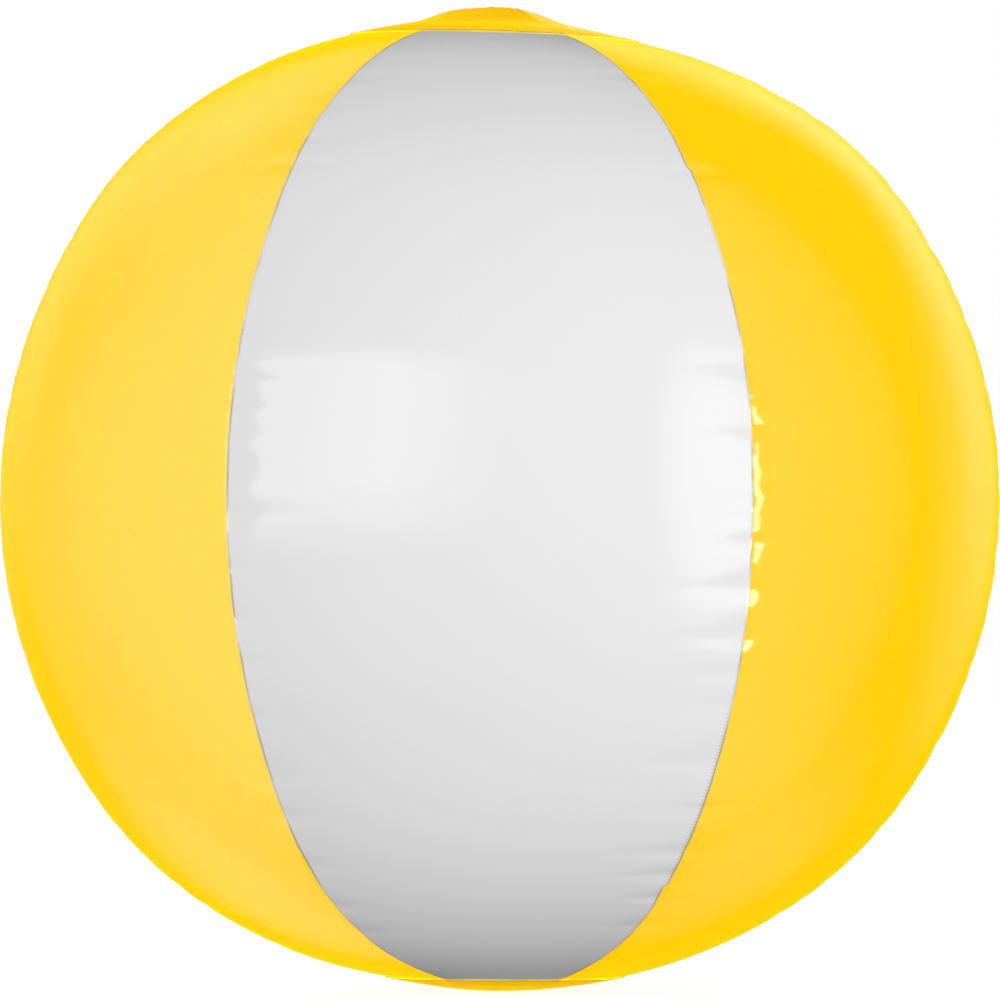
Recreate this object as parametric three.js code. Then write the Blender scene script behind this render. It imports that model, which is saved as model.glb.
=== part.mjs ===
// Inflatable beach ball: lap-welded film gores in two colours, a film disc over each pole,
// and a push-in mouth valve under the top disc.
// Millimetres, +Z up. The origin is the centre of the flat that the ball's weight presses
// into its foot. A white gore faces the front, which is -Y, and +X is on the right.
import * as THREE from 'three';
import { mergeVertices } from 'three/addons/utils/BufferGeometryUtils.js';

// Ball and film
const BALL_DIAMETER = 280;
const COLOUR_PAIRS = 3; // one white and one yellow gore in each
const FILM = 0.25; // film thickness
const LAYER_GAP = 0.3; // clearance between pieces that lie on each other
const SEAM_LAP = 5; // width of the weld along a gore's edge
const SEAM_STEP = 4; // width over which a yellow gore dips to pass under a white one

// Shape at the poles: how deep the film is drawn in, and how far from the pole that starts
const TOP_DRAW_IN = 5.4;
const TOP_DRAW_ANGLE = THREE.MathUtils.degToRad(51);
const FOOT_DRAW_IN = 2.8;
const FOOT_DRAW_ANGLE = THREE.MathUtils.degToRad(40);
const FOOT_FLAT_DIAMETER = 26;

// Discs over the poles
const TOP_DISC_DIAMETER = 81;
const FOOT_DISC_DIAMETER = 67;
const DISC_LAP = 8; // width of the weld round a disc

// Valve stem, with a lip round its mouth
const STEM_BORE = 7.2;
const STEM_WALL = 1.4;
const STEM_LENGTH = 16;
const LIP_WIDTH = 0.7;
const LIP_HEIGHT = 1.4;

// Plug, the ring that tethers it and the strap between them
const PLUG_CLEARANCE = 0.3; // between the plug's shank and the bore
const SHANK_LENGTH = 5;
const SHANK_TAPER = 0.5;
const HEAD_OVERHANG = 0.6; // past the stem's lip
const HEAD_THICKNESS = 2;
const HEAD_ROUND = 0.5;
const HEAD_PROUD = 0.9; // above the film round the valve
const RING_WALL = 1;
const RING_HEIGHT = 2;
const STRAP = 0.8;
const STRAP_WIDTH = 3;
const STRAP_CLEARANCE = 0.6; // between the strap's loop and the edge of the film

// Flange under the film, the funnel to the stem and the non-return flap
const RECESS_WIDTH = 4.6; // between the plug's head and the edge of the film
const FLANGE_LAND = 3;
const FLANGE = 1.2;
const VALVE_RISE = 2; // how far the flange lifts the film
const RISE_SPREAD = 9; // width over which the lifted film comes down again
const MEMBRANE = 0.8;
const COLLAR_HEIGHT = 2;
const COLLAR_SETBACK = 1; // from the stem's inner end
const FLAP = 0.7;
const FLAP_HINGE_WIDTH = 5;

// Facets
const GORE_COLUMNS = 8;
const GORE_ROWS = 20;
const DISC_SIDES = 40;
const VALVE_SIDES = 32;
const RISE_STEPS = 4;
const FOOT_STEPS = 3;
const BEND_STEPS = 10;

const BALL_RADIUS = BALL_DIAMETER / 2;
const GORE_ANGLE = Math.PI / COLOUR_PAIRS;
const TOP_DISC_RADIUS = TOP_DISC_DIAMETER / 2;
const FOOT_DISC_RADIUS = FOOT_DISC_DIAMETER / 2;
const FOOT_FLAT_RADIUS = FOOT_FLAT_DIAMETER / 2;
const BORE_RADIUS = STEM_BORE / 2;
const STEM_RADIUS = BORE_RADIUS + STEM_WALL;
const LIP_RADIUS = STEM_RADIUS + LIP_WIDTH;
const HEAD_RADIUS = LIP_RADIUS + HEAD_OVERHANG;
const HOLE_RADIUS = HEAD_RADIUS + RECESS_WIDTH;
const FLANGE_RADIUS = HOLE_RADIUS + FLANGE_LAND;

const whiteFilm = new THREE.MeshStandardMaterial({ color: 0xf1f1f4, roughness: 0.2 });
const yellowFilm = new THREE.MeshStandardMaterial({ color: 0xffd312, roughness: 0.2 });
const valveVinyl = new THREE.MeshStandardMaterial({ color: 0xf3efdf, roughness: 0.35 });

// The ball's outline from foot to top, about the ball's centre: a half circle drawn in at each
// pole. The parameter runs with latitude.
class Meridian extends THREE.Curve {
  getPoint(t, target = new THREE.Vector3()) {
    const latitude = (t - 0.5) * Math.PI;
    const isTop = latitude > 0;
    const depth = isTop ? TOP_DRAW_IN : -FOOT_DRAW_IN;
    const reach = Math.sin(isTop ? TOP_DRAW_ANGLE : FOOT_DRAW_ANGLE);
    const share = Math.min(Math.cos(latitude) / reach, 1);
    const drawn = depth * (1 - share ** 2) ** 1.5;
    return target.set(BALL_RADIUS * Math.cos(latitude), 0, BALL_RADIUS * Math.sin(latitude) - drawn);
  }
}
const meridian = new Meridian();

// A point of the film's outer face as (radius, height), lifted along the face's normal.
function skinPoint(latitude, lift) {
  const t = latitude / Math.PI + 0.5;
  const point = meridian.getPoint(t);
  const along = meridian.getTangent(t);
  return new THREE.Vector2(point.x + lift * along.z, point.z - lift * along.x);
}

function topLatitude(radius) {
  return Math.acos(radius / BALL_RADIUS);
}

function footLatitude(radius) {
  return -topLatitude(radius);
}

function evenSteps(from, to, count) {
  return Array.from({ length: count + 1 }, (_, i) => THREE.MathUtils.lerp(from, to, i / count));
}

// Leaves positions alone, so that every shared corner is one vertex, and shades the result.
function weld(geometry) {
  geometry.deleteAttribute('normal');
  geometry.deleteAttribute('uv');
  const welded = mergeVertices(geometry);
  welded.computeVertexNormals();
  return welded;
}

// A solid of revolution about Z. The outline is (radius, height), counterclockwise.
function revolve(outline, sides) {
  return weld(new THREE.LatheGeometry(outline, sides).rotateX(Math.PI / 2));
}

function revolveRing(outline, sides) {
  return revolve([...outline, outline[0]], sides);
}

function piece(name, geometry, material) {
  const mesh = new THREE.Mesh(geometry, material);
  mesh.name = name;
  return mesh;
}

// A gore is a box of one film's thickness, wrapped on the ball. Its rows are latitudes. Its
// columns are meridians, each with a turn from the gore's middle, a shift across the film in
// millimetres, and a lift.
const goreRows = [
  footLatitude(FOOT_DISC_RADIUS - DISC_LAP),
  ...evenSteps(footLatitude(FOOT_DISC_RADIUS), topLatitude(TOP_DISC_RADIUS), GORE_ROWS),
  topLatitude(TOP_DISC_RADIUS - DISC_LAP),
];

function goreGeometry(columns) {
  const geometry = new THREE.BoxGeometry(1, 1, 1, columns.length - 1, goreRows.length - 1, 1);
  const corners = geometry.getAttribute('position');
  for (let i = 0; i < corners.count; i++) {
    const column = columns[Math.round((corners.getX(i) + 0.5) * (columns.length - 1))];
    const latitude = goreRows[Math.round((corners.getY(i) + 0.5) * (goreRows.length - 1))];
    const isOuter = corners.getZ(i) > 0;
    const point = skinPoint(latitude, isOuter ? column.lift : column.lift - FILM);
    const azimuth = column.turn + column.shift / (BALL_RADIUS * Math.cos(latitude));
    corners.setXYZ(i, point.x * Math.sin(azimuth), -point.x * Math.cos(azimuth), point.y);
  }
  return weld(geometry);
}

function mirrored(column) {
  return { turn: -column.turn, shift: -column.shift, lift: column.lift };
}

// Columns from one side of a gore to the other, spread evenly between the last pair given.
function goreColumns(border) {
  const last = border.at(-1);
  const middle = evenSteps(-1, 1, GORE_COLUMNS).slice(1, -1);
  return [
    ...border.map(mirrored),
    ...middle.map((share) => ({ turn: share * last.turn, shift: share * last.shift, lift: 0 })),
    ...border.toReversed(),
  ];
}

const seamTurn = GORE_ANGLE / 2;
const underLap = -(FILM + LAYER_GAP);
const lapOut = SEAM_LAP / 2;
const stepStart = -lapOut - LAYER_GAP;

// A white gore keeps the ball's outer face right across.
const whiteGore = goreGeometry(
  goreColumns([
    { turn: seamTurn, shift: lapOut, lift: 0 },
    { turn: seamTurn, shift: -lapOut, lift: 0 },
  ]),
);

// A yellow gore dips at its sides, where a white one laps over it.
const yellowGore = goreGeometry(
  goreColumns([
    { turn: seamTurn, shift: lapOut, lift: underLap },
    { turn: seamTurn, shift: stepStart, lift: underLap },
    { turn: seamTurn, shift: stepStart - SEAM_STEP, lift: 0 },
  ]),
);

// Round the ball, in steps of two gores from the front for white and from the right for yellow.
function makeGores() {
  const pairs = Array.from({ length: COLOUR_PAIRS }, (_, i) => i);
  return pairs.flatMap((i) => {
    const white = piece(`white_gore_${i + 1}`, whiteGore, whiteFilm);
    white.rotation.z = 2 * i * GORE_ANGLE;
    const yellow = piece(`yellow_gore_${i + 1}`, yellowGore, yellowFilm);
    yellow.rotation.z = (2 * i + 1) * GORE_ANGLE;
    return [white, yellow];
  });
}

// The top disc lies on the ends of the gores, and the valve's flange lifts its middle.
const discUnder = LAYER_GAP;
const discOver = LAYER_GAP + FILM;

function topDiscPoint(radius, lift) {
  const point = skinPoint(topLatitude(radius), lift);
  const fall = THREE.MathUtils.smoothstep(radius, FLANGE_RADIUS, FLANGE_RADIUS + RISE_SPREAD);
  point.y += VALVE_RISE * (1 - fall);
  return point;
}

function makeTopDisc() {
  const radii = [
    HOLE_RADIUS,
    ...evenSteps(FLANGE_RADIUS, FLANGE_RADIUS + RISE_SPREAD, RISE_STEPS),
    TOP_DISC_RADIUS - DISC_LAP,
    TOP_DISC_RADIUS,
  ];
  const under = radii.map((radius) => topDiscPoint(radius, discUnder));
  const over = radii.map((radius) => topDiscPoint(radius, discOver));
  return piece('top_disc', revolveRing([...under, ...over.reverse()], DISC_SIDES), yellowFilm);
}

// The foot disc is the same kind of disc, pressed flat in the middle where the ball stands.
const footFlat = skinPoint(footLatitude(FOOT_FLAT_RADIUS), discOver);

function makeFootDisc() {
  const radii = [
    ...evenSteps(FOOT_FLAT_RADIUS, FOOT_DISC_RADIUS - DISC_LAP, FOOT_STEPS),
    FOOT_DISC_RADIUS,
  ];
  const under = radii.map((radius) => skinPoint(footLatitude(radius), discOver));
  const over = radii.map((radius) => skinPoint(footLatitude(radius), discUnder));
  const outline = [
    new THREE.Vector2(0, footFlat.y),
    ...under,
    ...over.toReversed(),
    new THREE.Vector2(0, over[0].y),
  ];
  return piece('foot_disc', revolve(outline, DISC_SIDES), yellowFilm);
}

// The flange lies under the top disc, round its hole.
function flangePoint(radius, depth) {
  const point = topDiscPoint(radius, discUnder);
  point.y -= LAYER_GAP + depth;
  return point;
}

function makeFlange() {
  const outline = [
    flangePoint(HOLE_RADIUS, FLANGE),
    flangePoint(FLANGE_RADIUS, FLANGE),
    flangePoint(FLANGE_RADIUS, 0),
    flangePoint(HOLE_RADIUS, 0),
  ];
  return piece('valve_flange', revolveRing(outline, DISC_SIDES), valveVinyl);
}

// Heights of the valve's pieces, from the plug's head down, about the ball's centre.
const headTop = topDiscPoint(HOLE_RADIUS, discOver).y + HEAD_PROUD;
const headUnder = headTop - HEAD_THICKNESS;
const stemMouth = headUnder - LAYER_GAP;
const stemFoot = stemMouth - STEM_LENGTH;
const ringTop = stemMouth - LIP_HEIGHT - LAYER_GAP;
const ringFoot = ringTop - RING_HEIGHT;
const ringInside = STEM_RADIUS + LAYER_GAP;
const ringOutside = ringInside + RING_WALL;

function outlineOf(...corners) {
  return corners.map(([radius, height]) => new THREE.Vector2(radius, height));
}

function makeStem() {
  const outline = outlineOf(
    [BORE_RADIUS, stemFoot],
    [STEM_RADIUS, stemFoot],
    [STEM_RADIUS, stemMouth - LIP_HEIGHT],
    [LIP_RADIUS, stemMouth - LIP_HEIGHT],
    [LIP_RADIUS, stemMouth],
    [BORE_RADIUS, stemMouth],
  );
  return piece('valve_stem', revolveRing(outline, VALVE_SIDES), valveVinyl);
}

function makePlug() {
  const shankRadius = BORE_RADIUS - PLUG_CLEARANCE;
  const shankFoot = headUnder - SHANK_LENGTH;
  const outline = outlineOf(
    [0, shankFoot],
    [shankRadius - SHANK_TAPER, shankFoot],
    [shankRadius, shankFoot + SHANK_TAPER],
    [shankRadius, headUnder],
    [HEAD_RADIUS, headUnder],
    [HEAD_RADIUS, headTop - HEAD_ROUND],
    [HEAD_RADIUS - HEAD_ROUND, headTop],
    [0, headTop],
  );
  return piece('valve_plug', revolve(outline, VALVE_SIDES), valveVinyl);
}

function makeTetherRing() {
  const outline = outlineOf(
    [ringInside, ringFoot],
    [ringOutside, ringFoot],
    [ringOutside, ringTop],
    [ringInside, ringTop],
  );
  return piece('tether_ring', revolveRing(outline, VALVE_SIDES), valveVinyl);
}

// The strap leaves the plug's head on the right, turns down and comes back to the tether ring.
function makeStrap() {
  const headMiddle = (headTop + headUnder) / 2;
  const ringMiddle = (ringTop + ringFoot) / 2;
  const bend = (headMiddle - ringMiddle) / 2;
  const bendMiddle = (headMiddle + ringMiddle) / 2;
  const bendCentre = HOLE_RADIUS - STRAP_CLEARANCE - STRAP / 2 - bend;
  const quarter = Math.PI / 2;
  const side = new THREE.Shape();
  side.moveTo(HEAD_RADIUS + LAYER_GAP, headMiddle - STRAP / 2);
  side.absarc(bendCentre, bendMiddle, bend - STRAP / 2, quarter, -quarter, true);
  side.lineTo(ringOutside + LAYER_GAP, ringMiddle + STRAP / 2);
  side.lineTo(ringOutside + LAYER_GAP, ringMiddle - STRAP / 2);
  side.absarc(bendCentre, bendMiddle, bend + STRAP / 2, -quarter, quarter, false);
  side.lineTo(HEAD_RADIUS + LAYER_GAP, headMiddle + STRAP / 2);
  const geometry = new THREE.ExtrudeGeometry(side, {
    depth: STRAP_WIDTH,
    curveSegments: BEND_STEPS,
    bevelEnabled: false,
  });
  geometry.rotateX(Math.PI / 2).translate(0, STRAP_WIDTH / 2, 0);
  return piece('plug_strap', weld(geometry), valveVinyl);
}

// The funnel hangs from the flange and holds the stem by a collar near its inner end.
function makeMembrane() {
  const collarOutside = ringInside + MEMBRANE;
  const collarFoot = stemFoot + COLLAR_SETBACK;
  const collarTop = collarFoot + COLLAR_HEIGHT;
  const rimInside = flangePoint(HOLE_RADIUS, FLANGE + LAYER_GAP);
  const rimOutside = flangePoint(FLANGE_RADIUS, FLANGE + LAYER_GAP);
  const outline = outlineOf(
    [ringInside, collarFoot],
    [collarOutside, collarFoot],
    [collarOutside, collarTop - MEMBRANE],
    [rimInside.x + MEMBRANE, rimInside.y - MEMBRANE],
    [rimOutside.x, rimOutside.y - MEMBRANE],
    [rimOutside.x, rimOutside.y],
    [rimInside.x, rimInside.y],
    [ringInside, collarTop],
  );
  return piece('valve_membrane', revolveRing(outline, VALVE_SIDES), valveVinyl);
}

// The flap covers the stem's inner end. Its straight side, on the right, is its hinge.
function makeFlap() {
  const hingeTurn = Math.asin(FLAP_HINGE_WIDTH / 2 / STEM_RADIUS);
  const face = new THREE.Shape();
  face.absarc(0, 0, STEM_RADIUS, hingeTurn, 2 * Math.PI - hingeTurn, false);
  const geometry = new THREE.ExtrudeGeometry(face, {
    depth: FLAP,
    curveSegments: BEND_STEPS,
    bevelEnabled: false,
  });
  geometry.translate(0, 0, stemFoot - LAYER_GAP - FLAP);
  return piece('valve_flap', weld(geometry), valveVinyl);
}

// Everything above is about the ball's centre, which stands over the flat of the foot.
const ball = new THREE.Group();
ball.position.z = -footFlat.y;
ball.add(...makeGores(), makeTopDisc(), makeFootDisc());

const valve = new THREE.Group();
valve.add(makeFlange(), makeMembrane(), makeStem(), makeTetherRing(), makeStrap(), makePlug(), makeFlap());
ball.add(valve);

const beachBall = new THREE.Group();
beachBall.add(ball);

export default beachBall;
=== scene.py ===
# %% [markdown]
# A beach ball is six long gores of thin vinyl film, welded edge to edge, with a film disc over
# each pole and a soft mouth valve under the top disc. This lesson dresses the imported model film
# by film. The frame comes first, because every later place is read from it.

# %% Load the frame
import math

import bmesh
import bpy
import numpy as np
from mathutils import Matrix, Vector


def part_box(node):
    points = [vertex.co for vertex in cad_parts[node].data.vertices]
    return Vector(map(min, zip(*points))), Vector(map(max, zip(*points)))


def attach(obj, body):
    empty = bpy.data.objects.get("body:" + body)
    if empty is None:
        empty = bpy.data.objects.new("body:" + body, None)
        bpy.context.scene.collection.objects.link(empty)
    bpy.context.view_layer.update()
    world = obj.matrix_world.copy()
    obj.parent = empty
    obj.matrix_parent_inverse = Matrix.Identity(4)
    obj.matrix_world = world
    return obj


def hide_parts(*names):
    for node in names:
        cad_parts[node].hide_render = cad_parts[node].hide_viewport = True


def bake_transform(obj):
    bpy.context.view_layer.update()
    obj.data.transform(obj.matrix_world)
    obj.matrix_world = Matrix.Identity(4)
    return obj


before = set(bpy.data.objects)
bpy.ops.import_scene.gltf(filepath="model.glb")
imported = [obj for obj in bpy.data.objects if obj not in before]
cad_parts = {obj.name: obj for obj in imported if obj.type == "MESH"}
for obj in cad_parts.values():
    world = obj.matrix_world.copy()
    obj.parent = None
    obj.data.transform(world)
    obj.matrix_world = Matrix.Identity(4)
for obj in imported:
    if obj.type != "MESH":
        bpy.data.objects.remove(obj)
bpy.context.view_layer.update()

# %% [markdown]
# The film pieces share a few sizes, in metres: the ball's radius and how far its poles are drawn
# in, which are the model's own, and the thickness of the film. The outline is a half circle with a
# dent at each pole, and one formula gives it to every film piece, so that laps always meet.

# %% The ball's outline
MM = 0.001
BALL_RADIUS = 140 * MM
TOP_DRAW_IN, TOP_DRAW_ANGLE = 5.4 * MM, math.radians(51)
FOOT_DRAW_IN, FOOT_DRAW_ANGLE = 2.8 * MM, math.radians(40)
FOOT_FLAT_RADIUS = 13 * MM
FILM = 0.12 * MM
DISC_LIFT = 0.55 * MM


def meridian(latitude):
    """Radius and height of the outline about the ball's centre: a half circle, less a dent of
    depth * (1 - (radius / reach) ** 2) ** 1.5 within reach of each pole."""
    radius = BALL_RADIUS * np.cos(latitude)
    top = latitude > 0
    depth = np.where(top, TOP_DRAW_IN, -FOOT_DRAW_IN)
    reach = BALL_RADIUS * np.sin(np.where(top, TOP_DRAW_ANGLE, FOOT_DRAW_ANGLE))
    inside = np.clip(1 - (radius / reach) ** 2, 0, None)
    return radius, BALL_RADIUS * np.sin(latitude) - depth * inside**1.5


def outward(latitude, step=1e-4):
    """The outline's unit normal: the chord of a small step each way, turned by a right angle."""
    low_radius, low_height = meridian(latitude - step)
    high_radius, high_height = meridian(latitude + step)
    chord = np.hypot(high_radius - low_radius, high_height - low_height)
    return (high_height - low_height) / chord, (low_radius - high_radius) / chord


def latitude_at(radius):
    """The latitude of the northern parallel that has this radius on the plain sphere."""
    return np.arccos(radius / BALL_RADIUS)


foot_flat = -latitude_at(FOOT_FLAT_RADIUS)
CENTRE_HEIGHT = -float(meridian(foot_flat)[1] + DISC_LIFT * outward(foot_flat)[1])
print(f"The ball's centre is {CENTRE_HEIGHT / MM:.2f} mm above the floor")

# %% [markdown]
# Film never blows up to an even ball. This one is fuller half way to its poles, its right shoulder
# hangs lower than its left, and it is drawn up round the foot. Sculpting could show that, but then
# the laps would part. Smooth swellings of the shared outline move all the pieces alike.

# %% How the film hangs
FULLNESS, FULL_LATITUDE, FULL_SPREAD = 0.8 * MM, math.radians(42), math.radians(12)
SHOULDER_DROP, SHOULDER_RADIUS = 1.85 * MM, 56 * MM
TOP_SINK, TOP_SINK_RADIUS = 0.6 * MM, 38 * MM
FOOT_RAISE, FOOT_LEAN, FOOT_RAISE_RADIUS = 0.35 * MM, 0.40 * MM, 33 * MM
FRONT_RAISE, FRONT_RAISE_RADIUS = 0.9 * MM, 45 * MM


def ring_swell(share):
    """A smooth rise and fall that is 1 where the share is 1: (s ** 2 * exp(1 - s ** 2)) ** 2."""
    return (share**2 * np.exp(1 - share**2)) ** 2


def sag(azimuth, latitude, radius):
    """How far the film hangs below the even outline. Round the top it sinks in a ring, and its
    right shoulder is lower than its left by s ** 2 * exp(2 - 2 * s) * sin(latitude) of the drop,
    where s is the radius over the shoulder's own. Round the foot it is drawn up in a ring, and
    towards the front by the square of the azimuth's cosine as well."""
    share = radius / SHOULDER_RADIUS
    lean = SHOULDER_DROP * np.sin(latitude) * share**2 * np.exp(2 - 2 * share)
    top = lean * np.sin(azimuth) + TOP_SINK * ring_swell(radius / TOP_SINK_RADIUS)
    foot = (FOOT_LEAN * np.sin(azimuth) - FOOT_RAISE) * ring_swell(radius / FOOT_RAISE_RADIUS)
    front = np.clip(np.cos(azimuth), 0, None) ** 2
    foot = foot - FRONT_RAISE * front * ring_swell(radius / FRONT_RAISE_RADIUS)
    return np.where(latitude > 0, top, foot)


def on_ball(azimuth, latitude, lift):
    """Points at an azimuth from the front and a latitude, lifted along the normal. Half way to
    each pole the ball is a little fuller than a sphere, by a bell curve of the latitude."""
    radius, height = meridian(latitude)
    out_radius, out_height = outward(latitude)
    full = FULLNESS * np.exp(-(((np.abs(latitude) - FULL_LATITUDE) / FULL_SPREAD) ** 2))
    reach = radius + (lift + full) * out_radius
    up = CENTRE_HEIGHT + height + (lift + full) * out_height - sag(azimuth, latitude, radius)
    return np.stack([reach * np.sin(azimuth), -reach * np.cos(azimuth), up], axis=-1)


shoulder = latitude_at(SHOULDER_RADIUS)
left_high, right_high = (on_ball(side * math.pi / 2, shoulder, 0)[2] for side in (-1, 1))
print(f"The right shoulder is {(left_high - right_high) / MM:.1f} mm lower than the left")

# %% [markdown]
# The camera stands level with the ball's middle, sixteen radii away, with a lens so long that the
# ball just fills the square frame. It looks a touch from the right and is rolled a little, which
# is how the front gore comes to lie left of the middle and the valve to lean.

# %% The camera
SENSOR_WIDTH = 36.0
CAMERA_DISTANCE = 16 * BALL_RADIUS
CAMERA_AZIMUTH = math.radians(1.3)
CAMERA_ROLL = math.radians(-0.64)

camera_data = bpy.data.cameras.new("camera")
camera_data.sensor_width = SENSOR_WIDTH
camera_data.lens = SENSOR_WIDTH / 2 / math.tan(math.asin(BALL_RADIUS / CAMERA_DISTANCE))
camera = bpy.data.objects.new("camera", camera_data)
camera.location = (
    CAMERA_DISTANCE * math.sin(CAMERA_AZIMUTH),
    -CAMERA_DISTANCE * math.cos(CAMERA_AZIMUTH),
    CENTRE_HEIGHT,
)
turn = Matrix.Rotation(CAMERA_AZIMUTH, 4, "Z") @ Matrix.Rotation(math.pi / 2, 4, "X")
camera.rotation_euler = (turn @ Matrix.Rotation(CAMERA_ROLL, 4, "Z")).to_euler()
bpy.context.scene.collection.objects.link(camera)
bpy.context.scene.camera = camera
print(f"The lens is {camera_data.lens:.1f} mm")

# %% [markdown]
# Every film piece ends up as a thin closed shell: an outer face, an inner face and a rim. A grid
# of points for each face is enough to make one, and numpy can number all its quads at once. A
# modifier could thicken the film too, but two grids let the rim follow the weld exactly.

# %% Meshes from grids
SHARP_ANGLE = math.radians(40)


def put_in_mesh(name, points, faces):
    """A smooth-shaded object with these points and quads, sharp where faces meet at an angle."""
    mesh = bpy.data.meshes.new(name)
    mesh.vertices.add(len(points))
    mesh.vertices.foreach_set("co", points.astype(np.float32).ravel())
    mesh.loops.add(faces.size)
    mesh.loops.foreach_set("vertex_index", faces.astype(np.int32).ravel())
    mesh.polygons.add(len(faces))
    mesh.polygons.foreach_set("loop_start", np.arange(0, faces.size, 4, dtype=np.int32))
    mesh.update(calc_edges=True)
    mesh.validate()
    mesh.shade_smooth()
    mesh.set_sharp_from_angle(angle=SHARP_ANGLE)
    piece = bpy.data.objects.new(name, mesh)
    bpy.context.scene.collection.objects.link(piece)
    return piece


def grid_quads(rows, columns):
    """Corner numbers of the quads of a grid whose rows go up and whose columns go to the right."""
    corner = np.arange((rows - 1) * columns).reshape(rows - 1, columns)[:, :-1].ravel()
    return np.stack([corner, corner + 1, corner + columns + 1, corner + columns], axis=1)


def film_shell(name, outer, inner):
    """A shell between two grids of points: the outer quads, the inner ones turned round, and a
    rim of quads along the border."""
    rows, columns = outer.shape[:2]
    number = np.arange(rows * columns).reshape(rows, columns)
    border = np.concatenate([number[0], number[1:, -1], number[-1, -2::-1], number[-2::-1, 0]])
    here, there = border[:-1], border[1:]
    quads = grid_quads(rows, columns)
    behind = rows * columns
    rim = np.stack([there, here, here + behind, there + behind], axis=1)
    faces = np.concatenate([quads, quads[:, ::-1] + behind, rim])
    points = np.concatenate([outer.reshape(-1, 3), inner.reshape(-1, 3)])
    return put_in_mesh(name, points, faces)


def mark(piece, name, values):
    """Keeps one number for each point, for the material to read. Both faces get the same."""
    attribute = piece.data.attributes.new(name, "FLOAT", "POINT")
    both = np.concatenate([values.ravel(), values.ravel()])
    attribute.data.foreach_set("value", both.astype(np.float32))


def smooth_step(share):
    """0 below 0, 1 above 1, and 3 s ** 2 - 2 s ** 3 between them."""
    share = np.clip(share, 0, 1)
    return share * share * (3 - 2 * share)


print("Film shells are two grids and a rim")

# %% [markdown]
# A weld can't stretch with the film beside it, so the film is drawn into small tucks that cross
# the seam and fade within a finger's width. The tucks of the two front seams are listed where
# the real ball has them. The seams round the back get tucks of the same kind by seeded chance, and
# finer pleats lie between the tucks of every seam.

# %% Tucks along the seams
GORES = 6
GORE_ANGLE = 2 * math.pi / GORES
TUCK_ENDS, TUCK_STRAY = 150.0, 0.4
NARROWEST = 0.35
# The step along the seam, then the ranges of depth, half width and reach, all in millimetres.
BACK_TUCKS = 9.5, (0.15, 0.75), (2.6, 4.6), (8, 13)
PLEATS = 4.2, (0.02, 0.09), (1.2, 2.0), (2.5, 5)
rng = np.random.default_rng(5)

# Millimetres: place above the equator along the seam, depth, half width, reach from the seam. A
# depth below 0 is a ridge.
RIGHT_TUCKS = [
    (140, 0.25, 4.0, 10), (124, 0.20, 4.0, 9), (94, 0.35, 3.2, 6), (78, 0.15, 5.0, 8),
    (62, 0.12, 5.0, 8), (48, 0.25, 3.6, 9), (36, 0.45, 3.6, 11), (19.7, 0.75, 3.8, 13),
    (8, 0.25, 3.2, 8), (-0.6, 0.25, 2.0, 8), (-5.6, 0.30, 2.0, 8), (-12.3, 0.65, 2.8, 11),
    (-24.2, 0.80, 3.8, 14), (-37.4, 0.75, 4.0, 12), (-48, 0.45, 3.2, 10), (-57, 0.45, 3.2, 10),
    (-74, 0.50, 4.2, 15), (-88, 0.25, 3.6, 14), (-86.5, -0.30, 1.1, 9), (-104, 0.40, 3.0, 14),
    (-113, 0.40, 2.8, 13), (-123, 0.40, 2.6, 9), (-138, 0.30, 4.0, 9),
]
LEFT_TUCKS = [
    (138, 0.28, 4.0, 10), (123, 0.25, 3.6, 9), (108, 0.50, 3.0, 10), (98, 0.50, 2.8, 10),
    (82, 0.20, 4.5, 8), (64, 0.16, 4.5, 8), (48, 0.25, 3.5, 9), (34.5, 0.45, 2.2, 10),
    (27.3, 0.65, 3.6, 11), (19.7, 0.60, 3.2, 11), (9.5, 0.70, 5.0, 11), (-2.8, 0.75, 4.2, 12),
    (-18, 0.35, 3.5, 9), (-31, 0.30, 3.4, 8), (-43, 0.32, 2.6, 11), (-59, 0.32, 3.0, 11),
    (-76, 0.28, 3.6, 10), (-90, 0.28, 3.4, 12), (-108, 0.28, 3.4, 10), (-126, 0.28, 3.4, 9),
    (-140, 0.28, 4.0, 9),
]


def chance_tucks(step, *ranges):
    """Tucks about one step apart along a seam, each drawn from the ranges given."""
    count = int(2 * TUCK_ENDS / step)
    stray = rng.uniform(-TUCK_STRAY, TUCK_STRAY, count) * step
    place = np.linspace(-TUCK_ENDS, TUCK_ENDS, count) + stray
    others = [rng.uniform(*limits, count) for limits in ranges]
    return np.stack([place, *others], axis=1)


back_tucks = [chance_tucks(*BACK_TUCKS) for _ in range(GORES - 2)]
pleats = [chance_tucks(*PLEATS) for _ in range(GORES)]
seam_tucks = [np.array(RIGHT_TUCKS), *back_tucks, np.array(LEFT_TUCKS)]
seam_tucks = [np.concatenate(pair) * MM for pair in zip(seam_tucks, pleats)]


def tuck_relief(along, away, tucks):
    """The sum of the tucks: each is a valley with a bell curve's section along the seam, whose
    depth fades as exp(-(away / reach) ** 1.5) while it narrows to about a third."""
    place, depth, width, reach = (column[:, None, None] for column in tucks.T)
    narrow = width * (NARROWEST + (1 - NARROWEST) * np.exp(-away / reach))
    bell = np.exp(-(((along - place) / narrow) ** 2))
    return -(depth * np.exp(-((away / reach) ** 1.5)) * bell).sum(axis=0)


print("Tucks on each seam:", [len(tucks) for tucks in seam_tucks])

# %% [markdown]
# The white gores lap over the yellow ones, so their cut edge is the line that shows. It isn't quite
# straight: it wanders by a hair, drifts a little on the two front seams, jogs once high on the right
# and has a nick low on the right. It is worked out once for each seam, row by row up the ball, and
# the gores on both sides of the seam read it.

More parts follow.
